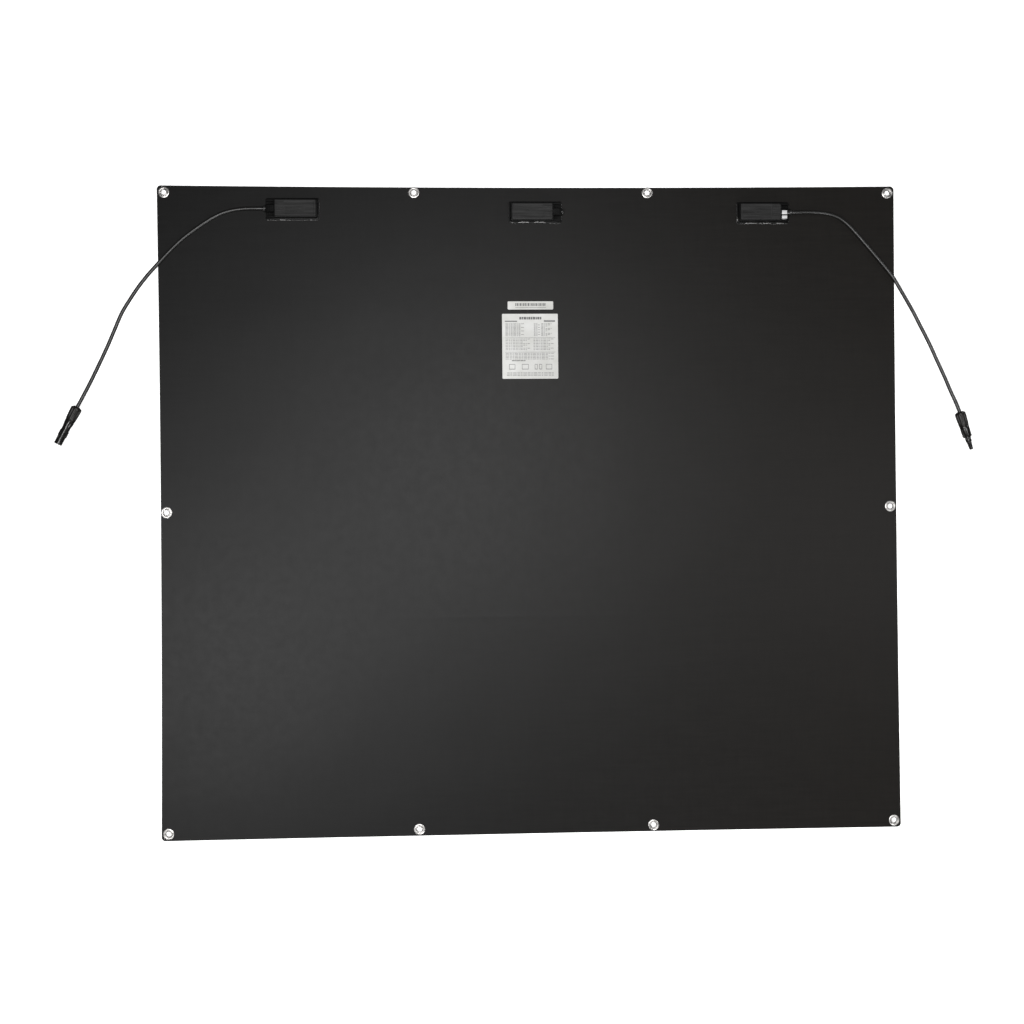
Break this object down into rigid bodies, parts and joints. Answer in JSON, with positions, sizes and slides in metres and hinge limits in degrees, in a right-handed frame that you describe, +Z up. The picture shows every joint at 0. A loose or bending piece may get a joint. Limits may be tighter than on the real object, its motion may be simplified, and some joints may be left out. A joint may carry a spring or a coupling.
{
  "type": "flexible solar sheet",
  "caption": "Thin frameless solar sheet lying cells down, with split junction boxes along one edge, a steel eyelet at each corner and side, and a lead with a connector on each side.",
  "frame": {"origin": "middle of the sheet, in the plane that the eyelets' front flanges rest on", "axes": "+X along the longer side, +Y towards the edge with the junction boxes, +Z up out of the back of the sheet"},
  "size_m": [1.4187, 1.002, 0.0168],
  "materials": {
    "front_film": "clear fluoropolymer film with a fine orange-peel emboss",
    "encapsulant": "clear bonded encapsulant",
    "back_film": "black, fine cloth-like texture, soft sheen",
    "silicon_cell": "blue-black anti-reflection coating with fine silver fingers",
    "tinned_copper": "tinned, satin",
    "copper": "bright copper",
    "box_plastic": "moulded black, light spark-eroded grain",
    "lid_plastic": "moulded black, brighter satin top",
    "diode_plastic": "moulded epoxy",
    "clamp_plastic": "pale grey, glossy",
    "plug_plastic": "black, glossy",
    "eyelet_steel": "polished stainless, fine scuffs",
    "label_film": "white printed film with grey bars for text",
    "cable_jacket": "black cross-linked jacket, satin",
    "connector_plastic": "black, polished highlights",
    "nut_plastic": "dark grey-black, ribbed grip",
    "seal_rubber": "black silicone"
  },
  "bodies": {
    "sheet": {"back_film": "back_film", "bottom_bus_ribbon_1": "tinned_copper", "bottom_bus_ribbon_2": "tinned_copper", "bottom_bus_ribbon_3": "tinned_copper", "cell_string_1": "silicon_cell", "cell_string_2": "silicon_cell", "cell_string_3": "silicon_cell", "cell_string_4": "silicon_cell", "cell_string_5": "silicon_cell", "cell_string_6": "silicon_cell", "eyelet_bottom_1": "eyelet_steel", "eyelet_bottom_2": "eyelet_steel", "eyelet_bottom_3": "eyelet_steel", "eyelet_bottom_4": "eyelet_steel", "eyelet_left": "eyelet_steel", "eyelet_right": "eyelet_steel", "eyelet_top_1": "eyelet_steel", "eyelet_top_2": "eyelet_steel", "eyelet_top_3": "eyelet_steel", "eyelet_top_4": "eyelet_steel", "front_encapsulant": "encapsulant", "front_film": "front_film", "left_box_base": "box_plastic", "left_box_terminal_a": "copper", "left_box_terminal_b": "copper", "left_bypass_diode": "diode_plastic", "left_cable_gland": "plug_plastic", "left_connector_body": "connector_plastic", "left_contact": "tinned_copper", "left_lead": "cable_jacket", "middle_box_base": "box_plastic", "middle_box_blank_plug": "plug_plastic", "middle_box_terminal_a": "copper", "middle_box_terminal_b": "copper", "middle_bypass_diode": "diode_plastic", "rating_label": "label_film", "rear_encapsulant": "encapsulant", "right_box_base": "box_plastic", "right_box_terminal_a": "copper", "right_box_terminal_b": "copper", "right_bypass_diode": "diode_plastic", "right_cable_gland": "clamp_plastic", "right_connector_body": "connector_plastic", "right_contact": "tinned_copper", "right_lead": "cable_jacket", "right_o_ring": "seal_rubber", "serial_label": "label_film", "top_bus_ribbon_1": "tinned_copper", "top_bus_ribbon_2": "tinned_copper", "top_bus_ribbon_3": "tinned_copper", "top_bus_ribbon_4": "tinned_copper"},
    "left_lid": {"left_box_lid": "lid_plastic"},
    "middle_lid": {"middle_box_lid": "lid_plastic"},
    "right_lid": {"right_box_lid": "lid_plastic"},
    "left_seal": {"left_cable_seal": "seal_rubber"},
    "left_nut": {"left_cap_nut": "nut_plastic"},
    "right_seal": {"right_cable_seal": "seal_rubber"},
    "right_nut": {"right_cap_nut": "nut_plastic"},
    "latch_finger_a": {"right_latch_finger_a": "connector_plastic"},
    "latch_finger_b": {"right_latch_finger_b": "connector_plastic"}
  },
  "joints": [
    {"name": "left_lid_lift", "type": "slide", "parent": "sheet", "child": "left_lid", "axis": [0, 0, 1], "range_m": [0, 0.03]},
    {"name": "middle_lid_lift", "type": "slide", "parent": "sheet", "child": "middle_lid", "axis": [0, 0, 1], "range_m": [0, 0.03]},
    {"name": "right_lid_lift", "type": "slide", "parent": "sheet", "child": "right_lid", "axis": [0, 0, 1], "range_m": [0, 0.03]},
    {"name": "left_seal_slide", "type": "slide", "parent": "sheet", "child": "left_seal", "axis": [0.4698, 0.8827, 0], "range_m": [0, 0.0045]},
    {"name": "left_nut_turn", "type": "hinge", "parent": "left_seal", "child": "left_nut", "pos_m": [-0.6922, 0.1619, 0.0086], "axis": [0.4698, 0.8827, 0], "range_deg": [0, 1084]},
    {"name": "right_seal_slide", "type": "slide", "parent": "sheet", "child": "right_seal", "axis": [-0.296, 0.9552, 0], "range_m": [0, 0.0045]},
    {"name": "right_nut_turn", "type": "hinge", "parent": "right_seal", "child": "right_nut", "pos_m": [0.6704, 0.1464, 0.0086], "axis": [-0.296, 0.9552, 0], "range_deg": [0, 1084]},
    {"name": "latch_flex_a", "type": "hinge", "parent": "sheet", "child": "latch_finger_a", "pos_m": [0.68265, 0.12141, 0.0086], "axis": [0, 0, -1], "range_deg": [0, 4], "stiffness_Nm_per_rad": 0.5},
    {"name": "latch_flex_b", "type": "hinge", "parent": "sheet", "child": "latch_finger_b", "pos_m": [0.67443, 0.11886, 0.0086], "axis": [0, 0, 1], "range_deg": [0, 4], "stiffness_Nm_per_rad": 0.5}
  ],
  "couplings": [
    {"joint": "left_nut_turn", "follows": "left_seal_slide", "rad_per_m": 4188.8},
    {"joint": "right_nut_turn", "follows": "right_seal_slide", "rad_per_m": 4188.8}
  ]
}
